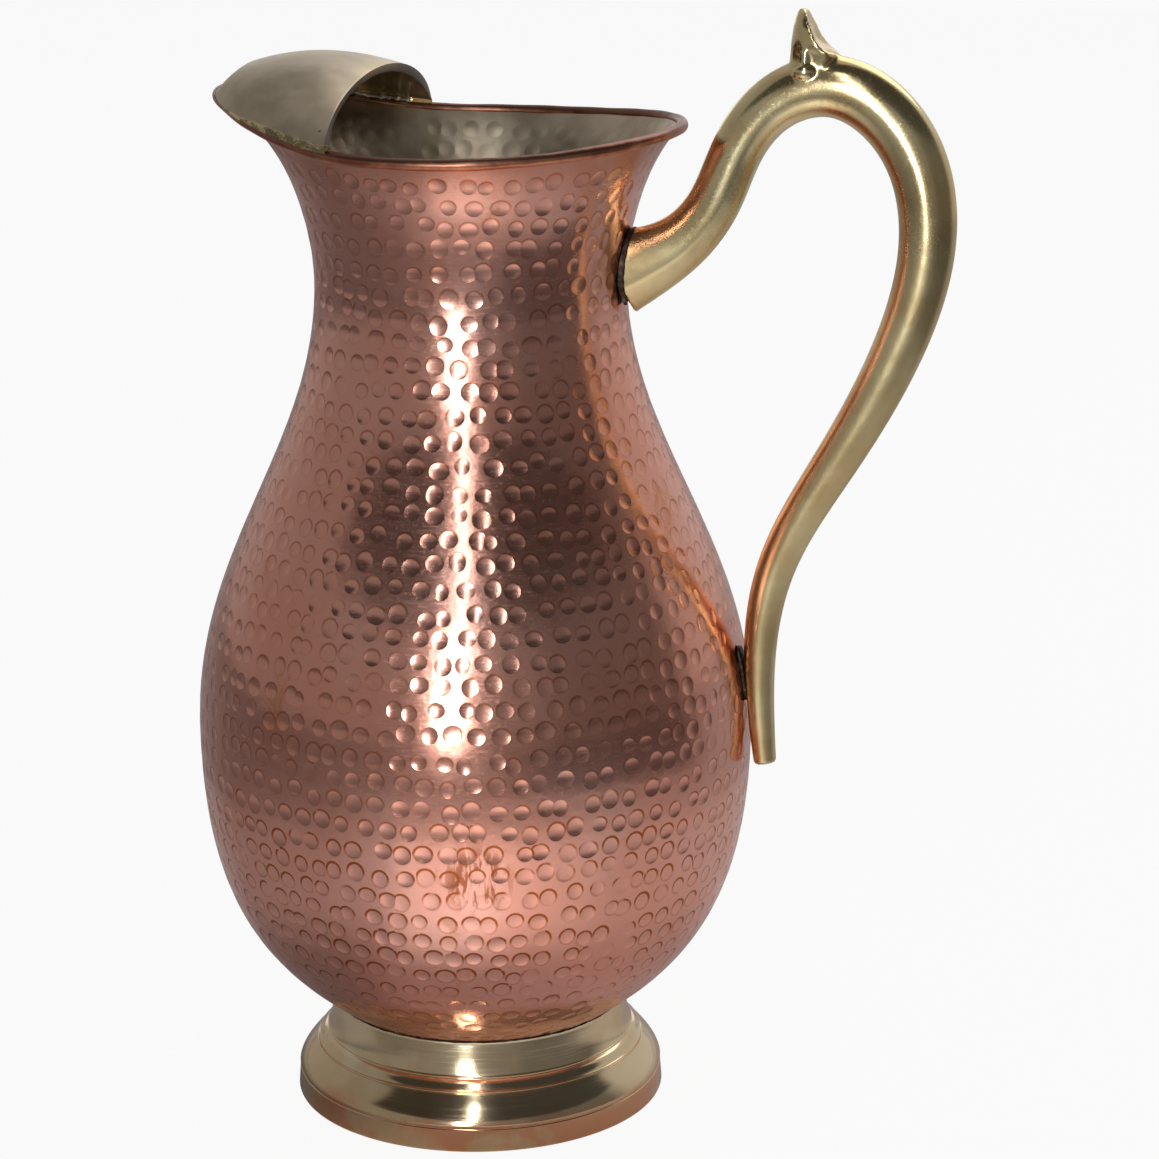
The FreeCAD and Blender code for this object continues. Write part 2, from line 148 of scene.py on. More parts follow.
def dent_centres():
    """Rings of dents up the sheet: angle, place along the profile, size, depth and squash of each."""
    rng = np.random.default_rng(11)
    profile, lengths = profile_table(0)
    above_joint, below_rim, clear_of_rim = DENT_GAPS
    turn = np.linspace(0, 2 * math.pi, 73)[:-1]
    rim = mouth_length(turn, profile, lengths)
    found = []
    along, row = lengths[PROFILE_STEPS[0]] + above_joint, 0
    while along < rim.max() - below_rim:
        radius = np.interp(along, lengths, profile[:, 0])
        count = round(2 * math.pi * radius / DENT_PITCH)
        phase = rng.uniform(0, 1)
        for k in range(count):
            angle = 2 * math.pi * (k + phase + rng.normal(0, DENT_STRAY[0])) / count
            place = along + rng.normal(0, DENT_STRAY[1]) + RING_WAVE * math.sin(3 * angle + row)
            if place < np.interp(angle % (2 * math.pi), turn, rim, period=2 * math.pi) - clear_of_rim:
                found.append((angle % (2 * math.pi), place, DENT_RADIUS * rng.uniform(0.88, 1.10),
                              rng.uniform(*DENT_DEPTHS), rng.uniform(-DENT_SQUASH, DENT_SQUASH)))
        along += DENT_ROWS * rng.uniform(0.95, 1.06)
        row += 1
    return np.array(found)


def started(name, primitive, **sizes):
    """A primitive to start a piece from, under its name and with nothing else selected."""
    bpy.ops.object.select_all(action="DESELECT")
    primitive(**sizes)
    piece = bpy.context.object
    piece.name = piece.data.name = name
    return piece


def edit_all(operator, **settings):
    """One operator on the whole mesh of the active piece."""
    bpy.ops.object.mode_set(mode="EDIT")
    bpy.ops.mesh.select_all(action="SELECT")
    operator(**settings)
    bpy.ops.object.mode_set(mode="OBJECT")


def hammered_skin(name, inset, columns, rows, dents, dent_shape):
    """Open skin of the sheet from a flat grid, wrapped round the profile and dented.

    Two maps give every face its place in the two nearest dents, in dent radii, and face
    values give their depths.
    """
    skin = started(name, bpy.ops.mesh.primitive_grid_add, x_subdivisions=columns, y_subdivisions=rows,
                   size=2)
    mesh = skin.data
    flat = np.empty(len(mesh.vertices) * 3)
    mesh.vertices.foreach_get("co", flat)
    flat = flat.reshape(-1, 3)
    turn = (flat[:, 0] + 1) * math.pi
    share = (flat[:, 1] + 1) / 2

    profile, lengths = profile_table(inset)
    neck_length = lengths[sum(PROFILE_STEPS[:3])]
    neck_share = 0.80
    ring = np.linspace(0, 2 * math.pi, 721)
    rim = np.interp(turn, ring, mouth_length(ring, profile, lengths))
    along = np.where(share < neck_share, neck_length * share / neck_share,
                     neck_length + (rim - neck_length) * (share - neck_share) / (1 - neck_share))
    place = on_sheet(turn, along, inset)
    step = 0.0002
    run, rise = (np.interp(along + step, lengths, column) - np.interp(along - step, lengths, column)
                 for column in profile.T)
    size = np.hypot(run, rise)
    out = np.stack([rise / size * np.cos(turn), rise / size * np.sin(turn), -run / size], 1)

    outer, outer_lengths = profile_table(0)
    stretch = outer_lengths[-1] / lengths[-1]
    corner = np.empty(len(mesh.loops), np.int32)
    mesh.loops.foreach_get("vertex_index", corner)
    quads = corner.reshape(-1, 4)
    middle_turn, middle_along = turn[quads].mean(1), along[quads].mean(1) * stretch

    tree = KDTree(len(dents))
    for k, point in enumerate(on_sheet(dents[:, 0], dents[:, 1])):
        tree.insert(point, k)
    tree.balance()

    def two_nearest(angle, s):
        return np.array([[n[1] for n in tree.find_n(p, 2)] for p in on_sheet(angle, s)])

    def offsets(index, angle, s):
        """Place of a point in its dent, in dent radii."""
        d = dents[index]
        wrap = (angle - d[:, 0] + math.pi) % (2 * math.pi) - math.pi
        across = wrap * np.interp(d[:, 1], outer_lengths, outer[:, 0]) / (d[:, 2] * (1 + d[:, 4]))
        up = (s - d[:, 1]) / (d[:, 2] * (1 - d[:, 4]))
        return np.stack([across, up], 1)

    nearest = two_nearest(middle_turn, middle_along)
    corner_turn, corner_along = turn[corner], along[corner] * stretch
    for level, label in enumerate(("dents", "next_dents")):
        layer = mesh.uv_layers.new(name=label)
        uv = offsets(np.repeat(nearest[:, level], 4), corner_turn, corner_along)
        layer.data.foreach_set("uv", uv.astype(np.float32).ravel())
        depth = mesh.attributes.new(label + "_depth", "FLOAT", "FACE")
        depth.data.foreach_set("value", dents[nearest[:, level], 3].astype(np.float32))

    pair = two_nearest(turn, along * stretch)
    push = np.zeros(len(place))
    for level in (0, 1):
        uv = offsets(pair[:, level], turn, along * stretch)
        push = np.maximum(push, dent_shape(np.hypot(uv[:, 0], uv[:, 1])) * dents[pair[:, level], 3])
    place -= out * push[:, None]

    mesh.vertices.foreach_set("co", place.astype(np.float32).ravel())
    normal = mesh.attributes.new("smooth_normal", "FLOAT_VECTOR", "POINT")
    normal.data.foreach_set("vector", out.astype(np.float32).ravel())
    edit_all(bpy.ops.mesh.remove_doubles, threshold=0.00001)
    bpy.ops.object.shade_smooth()
    return skin


class Wire:
    """One socket in a finish's nodes. Arithmetic on it adds the Math nodes."""

    def __init__(self, finish, socket):
        self.finish, self.socket = finish, socket

    def math(self, operation, *others):
        return self.finish.node("ShaderNodeMath", {"operation": operation}, [self, *others])

    def __add__(self, other):
        return self.math("ADD", other)

    def __sub__(self, other):
        return self.math("SUBTRACT", other)

    def __mul__(self, other):
        return self.math("MULTIPLY", other)

    def __truediv__(self, other):
        return self.math("DIVIDE", other)

    def __pow__(self, other):
        return self.math("POWER", other)

    def __rsub__(self, other):
        return self.finish.node("ShaderNodeMath", {"operation": "SUBTRACT"}, [other, self])

    __radd__, __rmul__ = __add__, __mul__

    def clamp(self):
        return self.finish.node("ShaderNodeClamp", {}, [self])

    def between(self, low, high):
        """0 up to low and 1 from high on, with a soft step between."""
        return self.finish.node("ShaderNodeMapRange", {"interpolation_type": "SMOOTHSTEP"},
                                [self, low, high, 0.0, 1.0])


class Finish:
    """A metal finish: one Principled shader and what varies over it."""

    def __init__(self, name, **constants):
        self.material = bpy.data.materials.new(name)
        self.material.use_nodes = True
        self.tree = self.material.node_tree
        self.shader = self.tree.nodes["Principled BSDF"]
        for socket, value in constants.items():
            self.shader.inputs[socket.replace("_", " ")].default_value = value
        self.where = self.node("ShaderNodeTexCoord", {}, [], "Object")

    def node(self, kind, settings, sockets, output=0):
        """Adds one node: its settings first, then the value or link of each socket."""
        made = self.tree.nodes.new(kind)
        for key, value in settings.items():
            if key == "stops":
                while len(made.color_ramp.elements) < len(value):
                    made.color_ramp.elements.new(0.5)
                for element, (position, colour) in zip(made.color_ramp.elements, value):
                    element.position, element.color = position, colour
            else:
                setattr(made, key, value)
        pairs = sockets.items() if isinstance(sockets, dict) else enumerate(sockets)
        for key, value in pairs:
            if isinstance(value, Wire):
                self.tree.links.new(value.socket, made.inputs[key])
            elif value is not None:
                made.inputs[key].default_value = value
        return Wire(self, made.outputs[output])

    def wears(self, **wires):
        """Links what varies to the shader's own sockets."""
        for socket, wire in wires.items():
            self.tree.links.new(wire.socket, self.shader.inputs[socket.replace("_", " ")])

    def noise(self, scale, detail, roughness=0.5, distortion=0.0):
        """Noise over the piece. Three scales instead of one stretch it along an axis."""
        where = self.where
        if isinstance(scale, tuple):
            where, scale = self.node("ShaderNodeMapping", {}, {"Vector": where, "Scale": scale}), 1.0
        return self.node("ShaderNodeTexNoise", {}, {"Vector": where, "Scale": scale, "Detail": detail,
                                                    "Roughness": roughness, "Distortion": distortion})

    def coats(self, colour, *coats):
        """A colour with coats over it, each a mask and the colour that it lays on."""
        for mask, coat in coats:
            colour = self.node("ShaderNodeMix", {"data_type": "RGBA"}, {0: mask, 6: colour, 7: coat}, 2)
        return colour

    def split(self, vector, axis):
        return self.node("ShaderNodeSeparateXYZ", {}, [vector], axis)

    def pits(self, scale, size, patches):
        """Small casting pits, only where the patches are."""
        pit = self.node("ShaderNodeTexVoronoi", {}, {"Vector": self.where, "Scale": scale}, "Distance")
        return (pit.between(size, 0.03) * patches).clamp()

    def attribute(self, name, output="Fac"):
        return self.node("ShaderNodeAttribute", {"attribute_name": name}, [], output)

    def bump(self, height, normal=None):
        """Relief whose height is in metres."""
        return self.node("ShaderNodeBump", {}, {"Height": height, "Strength": 1.0, "Distance": 1.0,
                                                "Normal": normal})


def dent_place(finish, label):
    """Place in the dent of this map, and distance from the dent's middle, both in dent radii."""
    place = finish.node("ShaderNodeUVMap", {"uv_map": label}, [])
    return place, finish.node("ShaderNodeVectorMath", {"operation": "LENGTH"}, [place], "Value")


def dent_relief(finish, narrowing=1.0, softness=1.0):
    """Depth below the sheet at each point, from the deeper of the two nearest dents."""
    depths = []
    for label in ("dents", "next_dents"):
        _, distance = dent_place(finish, label)
        bowl = (1 - distance * distance * narrowing).clamp() ** softness
        depths.append(bowl * finish.attribute(label + "_depth"))
    return depths[0].math("MAXIMUM", depths[1])


def sheet_normal(finish):
    """Normal of the sheet before it was dented."""
    return finish.node("ShaderNodeVectorTransform", {"vector_type": "NORMAL", "convert_from": "OBJECT",
                                                     "convert_to": "WORLD"},
                       [finish.attribute("smooth_normal", "Vector")])


def cap(distance):
    """Ball-shaped dent with a crisp edge."""
    return np.clip(1 - distance ** 2, 0, None)


dents = dent_centres()
hammered_body = hammered_skin("hammered_body", 0.0, 400, 215, dents, cap)

hammered_copper = Finish("hammered_copper", Metallic=1.0)
level = hammered_copper.split(hammered_copper.where, "Z")
relief = (dent_relief(hammered_copper) * -1.0 + hammered_copper.noise(95.0, 3.0) * 0.00016
          + hammered_copper.noise(420.0, 3.0) * 0.000012)
cloud = hammered_copper.noise(22.0, 4.0, 0.6)
speckle = hammered_copper.noise(900.0, 2.0, 0.6)
scratches = hammered_copper.noise((260.0, 260.0, 2600.0), 2.0)
stain = (hammered_copper.noise(60.0, 5.0, 0.7, 0.6).between(0.57, 0.70)
         * hammered_copper.noise(14.0, 1.0).between(0.50, 0.62))
in_dent, from_middle = dent_place(hammered_copper, "dents")
# Tarnish rings at the dents' edges. Their weight on each dent's upper side, whose wall faces down, is
# painted shade; they are stronger on the lower belly.
dent_edge = (from_middle - 1.0).math("ABSOLUTE").between(0.19, 0.07)
shaded_upper_side = hammered_copper.split(in_dent, "Y").between(-0.45, 0.55)
patchy = hammered_copper.noise(120.0, 2.0).between(0.34, 0.52)
low_belly = level.between(0.110, 0.085) * level.between(0.040, 0.062) * 0.6 + 0.4
tarnish_and_shade_rings = (dent_edge * (shaded_upper_side * 0.75 + 0.25) * patchy * low_belly * 1.5).clamp()
streaks = hammered_copper.noise((420.0, 420.0, 110.0), 4.0, 0.6, 0.8)
spot = hammered_copper.node("ShaderNodeVectorMath", {"operation": "DISTANCE"},
                            [hammered_copper.where, TARNISH_SPOT], "Value")
spot = spot.between(0.0125, 0.0040) * streaks.between(0.46, 0.58)
patina = (level + (cloud - 0.5) * 0.012).between(0.250, 0.268) * 0.65
hammered_copper.wears(
    Base_Color=hammered_copper.coats(
        COPPER, (cloud.between(0.35, 0.7), COPPER_WORN), (stain * 0.75, COPPER_STAIN),
        (spot * 0.85, COPPER_TARNISH_AND_SHADE), (patina, COPPER_PATINA), (tarnish_and_shade_rings, COPPER_TARNISH_AND_SHADE)),
    Roughness=(0.15 + cloud * 0.09 + speckle.between(0.55, 0.75) * 0.08
               + scratches.between(0.52, 0.7) * 0.06 + stain * 0.15 + spot * 0.12 + patina * 0.16),
    Normal=hammered_copper.bump(relief, sheet_normal(hammered_copper)))
hammered_body.data.materials.append(hammered_copper.material)
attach(hammered_body, "root")
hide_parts("copper_body")

# -------------------------------------------------------------------- lining
# The inner face of the same sheet, wiped with molten tin. The blows from outside show through
# as low soft bumps.

TIN = (0.74, 0.61, 0.45, 1)
TIN_DARK = (0.42, 0.32, 0.22, 1)


def bulge(distance):
    """Soft bump that a dent raises on the other face."""
    return 1.2 * np.clip(1 - (distance / 1.15) ** 2, 0, None) ** 1.5


tinned_lining = hammered_skin("tinned_lining", SHEET, 300, 150, dents, bulge)
edit_all(bpy.ops.mesh.flip_normals)

tinned_copper = Finish("tinned_copper", Metallic=0.95)
cloud = tinned_copper.noise(30.0, 5.0, 0.6)
grain = tinned_copper.noise(260.0, 3.0)
swelling = dent_relief(tinned_copper, 0.76, 1.5)
facing = tinned_copper.node("ShaderNodeVectorMath", {"operation": "SCALE"},
                            {0: sheet_normal(tinned_copper), "Scale": -1.0})
tinned_copper.wears(
    Base_Color=tinned_copper.coats(TIN_DARK, (cloud.between(0.35, 0.68), TIN)),
    Roughness=0.36 + cloud * 0.14,
    Normal=tinned_copper.bump(swelling * 0.8 + cloud * 0.0003 + grain * 0.00003, facing))
tinned_lining.data.materials.append(tinned_copper.material)
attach(tinned_lining, "root")
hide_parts("copper_body")

# ---------------------------------------------------------------- rolled rim
# The edge of the same sheet, rolled over into a bead all round the mouth and darkened by
# handling. Its upward faces are painted darker still, as shade.

BEAD = 0.0016
BEAD_SEAT = -0.0002
RING_RADIUS = 0.06
RIM_BROWN = (0.40, 0.13, 0.07, 1)
RIM_COPPER = (0.74, 0.31, 0.18, 1)
# painted shade on the bead's upward faces
RIM_TOP_SHADE = (0.16, 0.085, 0.065, 1)


def rim_line(turn):
    """Middle of the rolled edge at each angle round from the handle."""
    return on_sheet(turn, mouth_length(turn, *profile_table(BEAD_SEAT)), BEAD_SEAT)


def points_of(piece):
    flat = np.empty(len(piece.data.vertices) * 3)
    piece.data.vertices.foreach_get("co", flat)
    return flat.reshape(-1, 3)


def move_points(piece, points):
    piece.data.vertices.foreach_set("co", np.asarray(points, np.float32).ravel())
    piece.data.update()


rolled_rim = started("rolled_rim", bpy.ops.mesh.primitive_torus_add, major_radius=RING_RADIUS,
                     minor_radius=BEAD, major_segments=320, minor_segments=20)
ring = points_of(rolled_rim)
turn = np.arctan2(ring[:, 1], ring[:, 0]) % (2 * math.pi)
sweep = np.linspace(0, 2 * math.pi, 361)
line = rim_line(sweep)
middle = np.stack([np.interp(turn, sweep, line[:, k]) for k in range(3)], 1)
off = np.hypot(ring[:, 0], ring[:, 1]) - RING_RADIUS
waver = 0.94 + 0.035 * np.sin(9 * turn + 1) + 0.025 * np.sin(23 * turn)
bead = np.stack([np.cos(turn) * off, np.sin(turn) * off, ring[:, 2]], 1)
move_points(rolled_rim, middle + bead * waver[:, None])
bpy.ops.object.shade_smooth()

rim_copper = Finish("rim_copper", Metallic=1.0)
cloud = rim_copper.noise(70.0, 4.0, 0.6)
grain = rim_copper.noise(500.0, 3.0)
flow = rim_copper.noise(140.0, 2.0)
facing = rim_copper.node("ShaderNodeNewGeometry", {}, [], "Normal")
# painted shade: the more a face turns up, the darker, in patches
top_in_shade = rim_copper.split(facing, "Z").between(-0.2, 0.5)
rim_copper.wears(
    Base_Color=rim_copper.coats(RIM_BROWN, (cloud.between(0.38, 0.66), RIM_COPPER),
                                (top_in_shade * (0.55 + cloud * 0.5), RIM_TOP_SHADE)),
    Roughness=0.26 + cloud * 0.18,
    Normal=rim_copper.bump(flow * 0.0003 + grain * 0.00003))
rolled_rim.data.materials.append(rim_copper.material)
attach(rolled_rim, "root")
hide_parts("copper_body")

# --------------------------------------------------------------- spout hood
# Cast brass arch over the front third of the mouth, satin and a little uneven from the mould,
# its low upright skirt seated on the rolled rim. The slanted front cut leaves the pouring opening.

HOOD_WALL = 0.0023
HOOD_BACK = -0.0240
HOOD_CROWN = [(-0.0240, 0.2827), (-0.0420, 0.2861), (-0.0598, 0.2831)]
# the slanted cut through the brow: a point on it, its slope in degrees and how far forward it goes
BROW = (-0.0588, 0.2834)
BROW_SLOPE = 51.0
BROW_REACH = -0.0646
# the skirt stands this far out from the bead and up from it, is at least so high, and begins at
# this share of the way across
SKIRT_OVERHANG = 0.0008
SKIRT_FOOT = 0.0007
SKIRT_LEAST = 0.0008
SKIRT_SHARE = 0.94
HOOD_BRASS = (0.68, 0.56, 0.41, 1)
HOOD_DULL = (0.40, 0.32, 0.22, 1)
# painted shade on the upright skirt
HOOD_SKIRT_SHADE = (0.38, 0.28, 0.14, 1)
# gold of the skirt's patches, and of the painted highlight on the back arch's rounded edge
HOOD_GOLD_AND_HIGHLIGHT = (0.86, 0.68, 0.34, 1)
HOOD_SAWN = (0.20, 0.155, 0.145, 1)
HOOD_PIT = (0.07, 0.05, 0.03, 1)


def hood_places(x, across):
    """Outer face of the hood at this reach, across from one skirt's foot (-1) to the other (1)."""
    turn = np.linspace(math.radians(85), math.radians(180), 400)
    rim = rim_line(turn)
    outline = rim + np.stack([np.cos(turn), np.sin(turn), 0 * turn], 1) * BEAD
    order = np.argsort(rim[:, 0])
    half = np.interp(x, rim[order, 0], rim[order, 1]) + BEAD + SKIRT_OVERHANG
    level = np.interp(x, rim[order, 0], rim[order, 2])
    order = np.argsort(outline[:, 0])
    skirt = np.minimum(np.interp(x, outline[order, 0], outline[order, 1]), half * 0.999)
    crown = np.polyval(np.polyfit(*np.array(HOOD_CROWN).T, 2), x) - level
    spring = np.arccos(skirt / half)
    top = level + crown * np.sin(spring)
    foot = np.interp(x, outline[order, 0], outline[order, 2]) + SKIRT_FOOT
    foot = np.minimum(foot, top - SKIRT_LEAST)
    side = np.abs(across)
    lean = spring + (math.pi / 2 - spring) * np.clip(1 - side / SKIRT_SHARE, 0, 1)
    up_skirt = np.clip((1 - side) / (1 - SKIRT_SHARE), 0, 1)
    y = np.where(side > SKIRT_SHARE, skirt, half * np.cos(lean))
    z = np.where(side > SKIRT_SHARE, foot + (top - foot) * up_skirt, level + crown * np.sin(lean))
    return np.stack([x + 0 * y, y * np.sign(across), z], -1)


cast_hood = started("cast_hood", bpy.ops.mesh.primitive_grid_add, x_subdivisions=100,
                    y_subdivisions=250, size=2)
flat = points_of(cast_hood)
columns = np.unique(np.round(flat[:, 1], 6))
reach = np.linspace(HOOD_BACK, BROW_REACH, 300)
slope = math.radians(BROW_SLOPE)
front = []
for across in columns:
    trail = hood_places(reach, across)
    over = (BROW[0] - trail[:, 0]) * math.sin(slope) + (trail[:, 2] - BROW[1]) * math.cos(slope)
    first = int(np.argmax(over > 0)) if (over > 0).any() else len(reach) - 1
    share = over[first - 1] / (over[first - 1] - over[first]) if first and over[first] > 0 else 1.0
    front.append(reach[first - 1] + (reach[first] - reach[first - 1]) * share)
ends = np.interp(flat[:, 1], columns, front)
shaped = HOOD_BACK + (ends - HOOD_BACK) * (flat[:, 0] + 1) / 2
placed = np.empty_like(flat)
for across in columns:
    chosen = np.abs(flat[:, 1] - across) < 1e-5
    placed[chosen] = hood_places(shaped[chosen], across)
move_points(cast_hood, placed)
band = cast_hood.data.attributes.new("skirt", "FLOAT", "POINT")
band.data.foreach_set("value", np.clip((np.abs(flat[:, 1]) - 0.925) / 0.03, 0, 1).astype(np.float32))


def only(piece):
    """Selects this piece alone."""
    bpy.ops.object.select_all(action="DESELECT")
    piece.select_set(True)
    bpy.context.view_layer.objects.active = piece


def apply(piece, kind, **settings):
    """Adds one modifier and applies it."""
    only(piece)
    made = piece.modifiers.new(kind.lower(), kind)
    for key, value in settings.items():
        setattr(made, key, value)
    bpy.ops.object.modifier_apply(modifier=made.name)


def face_outward(piece):
    """Merges doubled points and turns every face outward."""
    only(piece)
    edit_all(bpy.ops.mesh.remove_doubles, threshold=0.000002)
    edit_all(bpy.ops.mesh.normals_make_consistent, inside=False)


face_outward(cast_hood)
if sum(p.normal.z for p in cast_hood.data.polygons) < 0:
    cast_hood.data.flip_normals()
apply(cast_hood, "SOLIDIFY", thickness=HOOD_WALL, offset=-1.0)
apply(cast_hood, "BEVEL", width=0.00030, segments=2, limit_method="ANGLE", angle_limit=math.radians(28))
bpy.ops.object.shade_smooth_by_angle(angle=math.radians(40))

satin_brass = Finish("satin_brass", Metallic=1.0)
cloud = satin_brass.noise(26.0, 4.0, 0.6)
swell = satin_brass.noise(45.0, 2.0)
grain = satin_brass.noise(700.0, 3.0, 0.7)
brushed = satin_brass.noise((300.0, 2200.0, 2200.0), 2.0)
pit = satin_brass.pits(95.0, 0.085, satin_brass.noise(60.0, 1.0).between(0.56, 0.60))
# the skirt band: painted darker as shade, with gold patches, and smoother
skirt = satin_brass.attribute("skirt")
gold = satin_brass.noise(130.0, 4.0, 0.6).between(0.46, 0.60) * skirt
facing_back = satin_brass.split(satin_brass.node("ShaderNodeNewGeometry", {}, [], "True Normal"), "X")
sawn = facing_back.between(0.90, 0.97)
# painted highlight: gold on faces turned part-way to the back, along the back arch's rounded edge
painted_edge_highlight = facing_back.between(0.25, 0.45) * facing_back.between(0.93, 0.88)
satin_brass.wears(
    Base_Color=satin_brass.coats(
        HOOD_DULL, (cloud.between(0.38, 0.66), HOOD_BRASS), (skirt * 0.8, HOOD_SKIRT_SHADE), (gold, HOOD_GOLD_AND_HIGHLIGHT),
        (sawn * 0.9, HOOD_SAWN), (painted_edge_highlight, HOOD_GOLD_AND_HIGHLIGHT), (pit, HOOD_PIT)),
    Roughness=(0.30 + cloud * 0.08 + grain.between(0.5, 0.7) * 0.06 + brushed * 0.04 - skirt * 0.14
               + sawn * 0.2),
    Normal=satin_brass.bump(swell * 0.00045 + gold * 0.00025 + grain * 0.000010 + brushed * 0.000006
                            - pit * 0.0002))
cast_hood.data.materials.append(satin_brass.material)
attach(cast_hood, "root")
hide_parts("spout_hood")

# ------------------------------------------------------------- hood solders
# Silvery tin solder run along both inner corners between hood and rim, which holds the hood.
# It is lumpy where it froze.

SOLDER_GREY = (0.30, 0.25, 0.18, 1)
SOLDER_BRIGHT = (0.80, 0.76, 0.66, 1)
SEAM_LUMPS = {"voxel": 0.00022, "lump": 0.0007, "size": 0.0024}


def lumpy(name, node, voxel, lump, size, smoothing=3, floor=None):
    """A copy of a solder's CAD solid, remeshed and given the uneven skin of frozen solder.

    Below the floor height it is cut away, to lose slivers thinner than the lumps.
    """
    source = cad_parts[node]
    piece = bpy.data.objects.new(name, source.data.copy())
    piece.data.name = name
    piece.data.materials.clear()
    bpy.context.scene.collection.objects.link(piece)
    face_outward(piece)
    if floor is not None:
        edit_all(bpy.ops.mesh.bisect, plane_co=(0, 0, floor), plane_no=(0, 0, 1), use_fill=True,
                 clear_inner=True)
    apply(piece, "REMESH", mode="VOXEL", voxel_size=voxel)
    texture = bpy.data.textures.new(name, "CLOUDS")
    texture.noise_scale = size
    texture.noise_depth = 2
    apply(piece, "SMOOTH", factor=0.5, iterations=smoothing)
    apply(piece, "DISPLACE", texture=texture, strength=lump, mid_level=0.5)
    bpy.ops.object.shade_smooth()
    return piece


solder_tin = Finish("bright_solder", Metallic=1.0)
cloud = solder_tin.noise(160.0, 4.0, 0.6)
solder_tin.wears(
    Base_Color=solder_tin.coats(SOLDER_GREY, (cloud.between(0.42, 0.60), SOLDER_BRIGHT)),
    Roughness=0.18 + cloud * 0.22,
    Normal=solder_tin.bump(solder_tin.noise(420.0, 3.0) * 0.00018))
for side in ("left", "right"):
    seam = lumpy("hood_seam_" + side, "hood_solder_" + side, **SEAM_LUMPS)
    seam.data.materials.append(solder_tin.material)
    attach(seam, "root")
    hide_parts("hood_solder_" + side)

# -------------------------------------------------------------------- handle
# Solid brass casting with a thumb-piece on its crown, filed to two creases along the root and
# polished. It is brazed to the neck and against the belly.

# middle line of the bar from the neck to the tail, as distance from the jug's axis and height
HANDLE_LINE = [(0.0403, 0.2306), (0.0566, 0.2392), (0.0652, 0.2496), (0.0712, 0.2634), (0.0816, 0.2762),
               (0.0956, 0.2804), (0.1136, 0.2688), (0.1208, 0.2440), (0.1139, 0.2135), (0.0973, 0.1813),
               (0.0826, 0.1530), (0.0786, 0.1310), (0.0802, 0.0990)]
# sections down the bar: share of its length, depth, width, how far it is filed to a keel
HANDLE_SECTIONS = [
    (0.00, 0.0226, 0.0110, 1.0), (0.06, 0.01585, 0.0110, 1.0), (0.13, 0.0136, 0.0122, 1.0),
    (0.20, 0.0139, 0.0129, 0.6), (0.28, 0.0158, 0.0136, 0.1), (0.37, 0.0158, 0.0136, 0.0),
    (0.47, 0.0146, 0.0136, 0.0), (0.60, 0.0129, 0.0119, 0.0), (0.73, 0.0112, 0.0102, 0.0),
    (0.84, 0.0096, 0.0096, 0.0), (0.92, 0.0080, 0.0090, 0.0), (1.00, 0.0060, 0.0074, 0.0)]
OUTER_SHARE = 0.62
HANDLE_GAP = 0.0009
# leaf of the thumb-piece down from its tip: height, front face, edges toward the hand, width
# between the edges, hollow of the face
THUMB = [(0.2999, 0.0870, 0.0889, 0.0034, 0.0000), (0.2991, 0.0865, 0.0892, 0.0058, 0.0001),
         (0.2978, 0.0861, 0.0897, 0.0082, 0.0003), (0.2958, 0.0856, 0.0906, 0.0104, 0.0006),
         (0.2925, 0.0851, 0.0921, 0.0122, 0.0008), (0.2906, 0.0849, 0.0936, 0.0128, 0.0004),
         (0.2895, 0.0848, 0.0950, 0.0122, -0.0008), (0.2886, 0.0847, 0.0954, 0.0116, -0.0020),
         (0.2870, 0.0846, 0.0945, 0.0112, -0.0020), (0.2850, 0.0844, 0.0935, 0.0104, -0.0012),
         (0.2830, 0.0838, 0.0925, 0.0090, -0.0004), (0.2800, 0.0832, 0.0915, 0.0070, 0.0000)]
PELLET = (0.0891, 0.0059, 0.2845)
PELLET_SIZE = (0.0027, 0.0015, 0.0020)
STEM = (0.0893, 0.0053, 0.2880)
STEM_SIZE = (0.0009, 0.0009, 0.0036)
LEAF_ROOT = ((0.0800, 0.0990), (0.2835, 0.2905))
BRASS = (0.90, 0.74, 0.42, 1)
BRASS_DEEP = (0.72, 0.53, 0.26, 1)
BRASS_SMUDGE = (0.30, 0.17, 0.09, 1)


def spline(knots, values, at):
    """Natural cubic spline through the values, read at these places."""
    x, y = np.asarray(knots, float), np.asarray(values, float)
    h = np.diff(x)
    system, right = np.eye(len(x)), np.zeros(len(x))
    for k in range(1, len(x) - 1):
        system[k, k - 1:k + 2] = h[k - 1], 2 * (h[k - 1] + h[k]), h[k]
        right[k] = 6 * ((y[k + 1] - y[k]) / h[k] - (y[k] - y[k - 1]) / h[k - 1])
    m = np.linalg.solve(system, right)
    k = np.clip(np.searchsorted(x, at) - 1, 0, len(x) - 2)
    t, u = at - x[k], x[k + 1] - at
    return (m[k] * u ** 3 + m[k + 1] * t ** 3) / (6 * h[k]) + (y[k] / h[k] - m[k] * h[k] / 6) * u + (
        y[k + 1] / h[k] - m[k + 1] * h[k] / 6) * t


